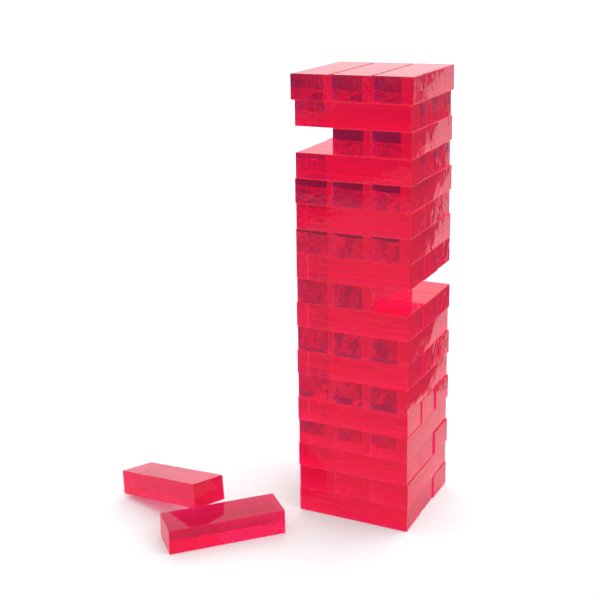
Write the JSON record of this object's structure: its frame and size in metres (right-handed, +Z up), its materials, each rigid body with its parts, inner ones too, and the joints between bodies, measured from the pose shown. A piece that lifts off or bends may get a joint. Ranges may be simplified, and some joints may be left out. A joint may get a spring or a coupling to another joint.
{
  "type": "tumbling tower game",
  "caption": "Giant tumbling tower of clear tinted acrylic blocks laid in crossing courses of three, with two blocks drawn out and lying in front.",
  "frame": {"origin": "middle of the tower's foot, on the surface it stands on", "axes": "+Z up; -Y is the front, the side that the loose blocks lie on; +X is the tower's right-hand side; the bottom course's blocks lie along X"},
  "size_m": [0.31, 0.258, 0.4571],
  "materials": {
    "lucite": "polished"
  },
  "bodies": {
    "course_01_front": {"course_01_front": "lucite"},
    "course_01_middle": {"course_01_middle": "lucite"},
    "course_01_back": {"course_01_back": "lucite"},
    "course_02_left": {"course_02_left": "lucite"},
    "course_02_middle": {"course_02_middle": "lucite"},
    "course_02_right": {"course_02_right": "lucite"},
    "course_03_front": {"course_03_front": "lucite"},
    "course_03_middle": {"course_03_middle": "lucite"},
    "course_03_back": {"course_03_back": "lucite"},
    "course_04_left": {"course_04_left": "lucite"},
    "course_04_middle": {"course_04_middle": "lucite"},
    "course_04_right": {"course_04_right": "lucite"},
    "course_05_front": {"course_05_front": "lucite"},
    "course_05_middle": {"course_05_middle": "lucite"},
    "course_05_back": {"course_05_back": "lucite"},
    "course_06_left": {"course_06_left": "lucite"},
    "course_06_middle": {"course_06_middle": "lucite"},
    "course_06_right": {"course_06_right": "lucite"},
    "course_07_front": {"course_07_front": "lucite"},
    "course_07_middle": {"course_07_middle": "lucite"},
    "course_07_back": {"course_07_back": "lucite"},
    "course_08_left": {"course_08_left": "lucite"},
    "course_08_middle": {"course_08_middle": "lucite"},
    "course_08_right": {"course_08_right": "lucite"},
    "course_09_front": {"course_09_front": "lucite"},
    "course_09_middle": {"course_09_middle": "lucite"},
    "course_09_back": {"course_09_back": "lucite"},
    "course_10_left": {"course_10_left": "lucite"},
    "course_10_middle": {"course_10_middle": "lucite"},
    "course_11_front": {"course_11_front": "lucite"},
    "course_11_middle": {"course_11_middle": "lucite"},
    "course_11_back": {"course_11_back": "lucite"},
    "course_12_left": {"course_12_left": "lucite"},
    "course_12_middle": {"course_12_middle": "lucite"},
    "course_12_right": {"course_12_right": "lucite"},
    "course_13_front": {"course_13_front": "lucite"},
    "course_13_middle": {"course_13_middle": "lucite"},
    "course_13_back": {"course_13_back": "lucite"},
    "course_14_left": {"course_14_left": "lucite"},
    "course_14_middle": {"course_14_middle": "lucite"},
    "course_14_right": {"course_14_right": "lucite"},
    "course_15_front": {"course_15_front": "lucite"},
    "course_15_middle": {"course_15_middle": "lucite"},
    "course_15_back": {"course_15_back": "lucite"},
    "course_16_middle": {"course_16_middle": "lucite"},
    "course_16_right": {"course_16_right": "lucite"},
    "course_17_front": {"course_17_front": "lucite"},
    "course_17_middle": {"course_17_middle": "lucite"},
    "course_17_back": {"course_17_back": "lucite"},
    "course_18_left": {"course_18_left": "lucite"},
    "course_18_middle": {"course_18_middle": "lucite"},
    "course_18_right": {"course_18_right": "lucite"},
    "loose_block_flat": {"loose_block_flat": "lucite"},
    "loose_block_leaning": {"loose_block_leaning": "lucite"}
  },
  "joints": [
    {"name": "course_01_front_slide", "type": "slide", "parent": "course_01_middle", "child": "course_01_front", "axis": [1, -0.0038, 0], "range_m": [-0.125, 0.125]},
    {"name": "course_01_back_slide", "type": "slide", "parent": "course_01_middle", "child": "course_01_back", "axis": [1, -0.0038, 0], "range_m": [-0.125, 0.125]},
    {"name": "course_02_left_slide", "type": "slide", "parent": "course_01_middle", "child": "course_02_left", "axis": [-0.0052, 1, 0], "range_m": [-0.125, 0.125]},
    {"name": "course_02_middle_slide", "type": "slide", "parent": "course_01_middle", "child": "course_02_middle", "axis": [-0.0052, 1, 0], "range_m": [-0.125, 0.125]},
    {"name": "course_02_right_slide", "type": "slide", "parent": "course_01_middle", "child": "course_02_right", "axis": [-0.0052, 1, 0], "range_m": [-0.125, 0.125]},
    {"name": "course_03_front_slide", "type": "slide", "parent": "course_01_middle", "child": "course_03_front", "axis": [1, -0.0033, 0], "range_m": [-0.125, 0.125]},
    {"name": "course_03_middle_slide", "type": "slide", "parent": "course_01_middle", "child": "course_03_middle", "axis": [1, -0.0033, 0], "range_m": [-0.125, 0.125]},
    {"name": "course_03_back_slide", "type": "slide", "parent": "course_01_middle", "child": "course_03_back", "axis": [1, -0.0033, 0], "range_m": [-0.125, 0.125]},
    {"name": "course_04_left_slide", "type": "slide", "parent": "course_01_middle", "child": "course_04_left", "axis": [0.0007, 1, 0], "range_m": [-0.125, 0.125]},
    {"name": "course_04_middle_slide", "type": "slide", "parent": "course_01_middle", "child": "course_04_middle", "axis": [0.0007, 1, 0], "range_m": [-0.125, 0.125]},
    {"name": "course_04_right_slide", "type": "slide", "parent": "course_01_middle", "child": "course_04_right", "axis": [0.0007, 1, 0], "range_m": [-0.125, 0.125]},
    {"name": "course_05_front_slide", "type": "slide", "parent": "course_01_middle", "child": "course_05_front", "axis": [1, 0.0043, 0], "range_m": [-0.125, 0.125]},
    {"name": "course_05_middle_slide", "type": "slide", "parent": "course_01_middle", "child": "course_05_middle", "axis": [1, 0.0043, 0], "range_m": [-0.125, 0.125]},
    {"name": "course_05_back_slide", "type": "slide", "parent": "course_01_middle", "child": "course_05_back", "axis": [1, 0.0043, 0], "range_m": [-0.125, 0.125]},
    {"name": "course_06_left_slide", "type": "slide", "parent": "course_01_middle", "child": "course_06_left", "axis": [0.0051, 1, 0], "range_m": [-0.125, 0.125]},
    {"name": "course_06_middle_slide", "type": "slide", "parent": "course_01_middle", "child": "course_06_middle", "axis": [0.0051, 1, 0], "range_m": [-0.125, 0.125]},
    {"name": "course_06_right_slide", "type": "slide", "parent": "course_01_middle", "child": "course_06_right", "axis": [0.0051, 1, 0], "range_m": [-0.125, 0.125]},
    {"name": "course_07_front_slide", "type": "slide", "parent": "course_01_middle", "child": "course_07_front", "axis": [1, 0.0027, 0], "range_m": [-0.125, 0.125]},
    {"name": "course_07_middle_slide", "type": "slide", "parent": "course_01_middle", "child": "course_07_middle", "axis": [1, 0.0027, 0], "range_m": [-0.125, 0.125]},
    {"name": "course_07_back_slide", "type": "slide", "parent": "course_01_middle", "child": "course_07_back", "axis": [1, 0.0027, 0], "range_m": [-0.125, 0.125]},
    {"name": "course_08_left_slide", "type": "slide", "parent": "course_01_middle", "child": "course_08_left", "axis": [-0.0014, 1, 0], "range_m": [-0.125, 0.125]},
    {"name": "course_08_middle_slide", "type": "slide", "parent": "course_01_middle", "child": "course_08_middle", "axis": [-0.0014, 1, 0], "range_m": [-0.125, 0.125]},
    {"name": "course_08_right_slide", "type": "slide", "parent": "course_01_middle", "child": "course_08_right", "axis": [-0.0014, 1, 0], "range_m": [-0.125, 0.125]},
    {"name": "course_09_front_slide", "type": "slide", "parent": "course_01_middle", "child": "course_09_front", "axis": [1, -0.0047, 0], "range_m": [-0.125, 0.125]},
    {"name": "course_09_middle_slide", "type": "slide", "parent": "course_01_middle", "child": "course_09_middle", "axis": [1, -0.0047, 0], "range_m": [-0.125, 0.125]},
    {"name": "course_09_back_slide", "type": "slide", "parent": "course_01_middle", "child": "course_09_back", "axis": [1, -0.0047, 0], "range_m": [-0.125, 0.125]},
    {"name": "course_10_left_slide", "type": "slide", "parent": "course_01_middle", "child": "course_10_left", "axis": [-0.0049, 1, 0], "range_m": [-0.125, 0.125]},
    {"name": "course_10_middle_slide", "type": "slide", "parent": "course_01_middle", "child": "course_10_middle", "axis": [-0.0049, 1, 0], "range_m": [-0.125, 0.125]},
    {"name": "course_11_front_slide", "type": "slide", "parent": "course_01_middle", "child": "course_11_front", "axis": [1, -0.002, 0], "range_m": [-0.125, 0.125]},
    {"name": "course_11_middle_slide", "type": "slide", "parent": "course_01_middle", "child": "course_11_middle", "axis": [1, -0.002, 0], "range_m": [-0.125, 0.125]},
    {"name": "course_11_back_slide", "type": "slide", "parent": "course_01_middle", "child": "course_11_back", "axis": [1, -0.002, 0], "range_m": [-0.125, 0.125]},
    {"name": "course_12_left_slide", "type": "slide", "parent": "course_01_middle", "child": "course_12_left", "axis": [0.0021, 1, 0], "range_m": [-0.125, 0.125]},
    {"name": "course_12_middle_slide", "type": "slide", "parent": "course_01_middle", "child": "course_12_middle", "axis": [0.0021, 1, 0], "range_m": [-0.125, 0.125]},
    {"name": "course_12_right_slide", "type": "slide", "parent": "course_01_middle", "child": "course_12_right", "axis": [0.0021, 1, 0], "range_m": [-0.125, 0.125]},
    {"name": "course_13_front_slide", "type": "slide", "parent": "course_01_middle", "child": "course_13_front", "axis": [1, 0.005, 0], "range_m": [-0.125, 0.125]},
    {"name": "course_13_middle_slide", "type": "slide", "parent": "course_01_middle", "child": "course_13_middle", "axis": [1, 0.005, 0], "range_m": [-0.125, 0.125]},
    {"name": "course_13_back_slide", "type": "slide", "parent": "course_01_middle", "child": "course_13_back", "axis": [1, 0.005, 0], "range_m": [-0.125, 0.125]},
    {"name": "course_14_left_slide", "type": "slide", "parent": "course_01_middle", "child": "course_14_left", "axis": [0.0046, 1, 0], "range_m": [-0.125, 0.125]},
    {"name": "course_14_middle_slide", "type": "slide", "parent": "course_01_middle", "child": "course_14_middle", "axis": [0.0046, 1, 0], "range_m": [-0.125, 0.125]},
    {"name": "course_14_right_slide", "type": "slide", "parent": "course_01_middle", "child": "course_14_right", "axis": [0.0046, 1, 0], "range_m": [-0.125, 0.125]},
    {"name": "course_15_front_slide", "type": "slide", "parent": "course_01_middle", "child": "course_15_front", "axis": [1, 0.0014, 0], "range_m": [-0.125, 0.125]},
    {"name": "course_15_middle_slide", "type": "slide", "parent": "course_01_middle", "child": "course_15_middle", "axis": [1, 0.0014, 0], "range_m": [-0.125, 0.125]},
    {"name": "course_15_back_slide", "type": "slide", "parent": "course_01_middle", "child": "course_15_back", "axis": [1, 0.0014, 0], "range_m": [-0.125, 0.125]},
    {"name": "course_16_middle_slide", "type": "slide", "parent": "course_01_middle", "child": "course_16_middle", "axis": [-0.0028, 1, 0], "range_m": [-0.125, 0.125]},
    {"name": "course_16_right_slide", "type": "slide", "parent": "course_01_middle", "child": "course_16_right", "axis": [-0.0028, 1, 0], "range_m": [-0.125, 0.125]},
    {"name": "course_17_front_slide", "type": "slide", "parent": "course_01_middle", "child": "course_17_front", "axis": [1, -0.0051, 0], "range_m": [-0.125, 0.125]},
    {"name": "course_17_middle_slide", "type": "slide", "parent": "course_01_middle", "child": "course_17_middle", "axis": [1, -0.0051, 0], "range_m": [-0.125, 0.125]},
    {"name": "course_17_back_slide", "type": "slide", "parent": "course_01_middle", "child": "course_17_back", "axis": [1, -0.0051, 0], "range_m": [-0.125, 0.125]},
    {"name": "course_18_left_lift", "type": "slide", "parent": "course_01_middle", "child": "course_18_left", "axis": [0, 0, 1], "range_m": [0, 0.06]},
    {"name": "course_18_middle_lift", "type": "slide", "parent": "course_01_middle", "child": "course_18_middle", "axis": [0, 0, 1], "range_m": [0, 0.06]},
    {"name": "course_18_right_lift", "type": "slide", "parent": "course_01_middle", "child": "course_18_right", "axis": [0, 0, 1], "range_m": [0, 0.06]},
    {"name": "loose_block_flat_slide", "type": "slide", "parent": "course_01_middle", "child": "loose_block_flat", "axis": [-0.7071, -0.7071, 0], "range_m": [0, 0.12]},
    {"name": "loose_block_leaning_lift", "type": "slide", "parent": "course_01_middle", "child": "loose_block_leaning", "axis": [0, 0, 1], "range_m": [0, 0.1]}
  ]
}
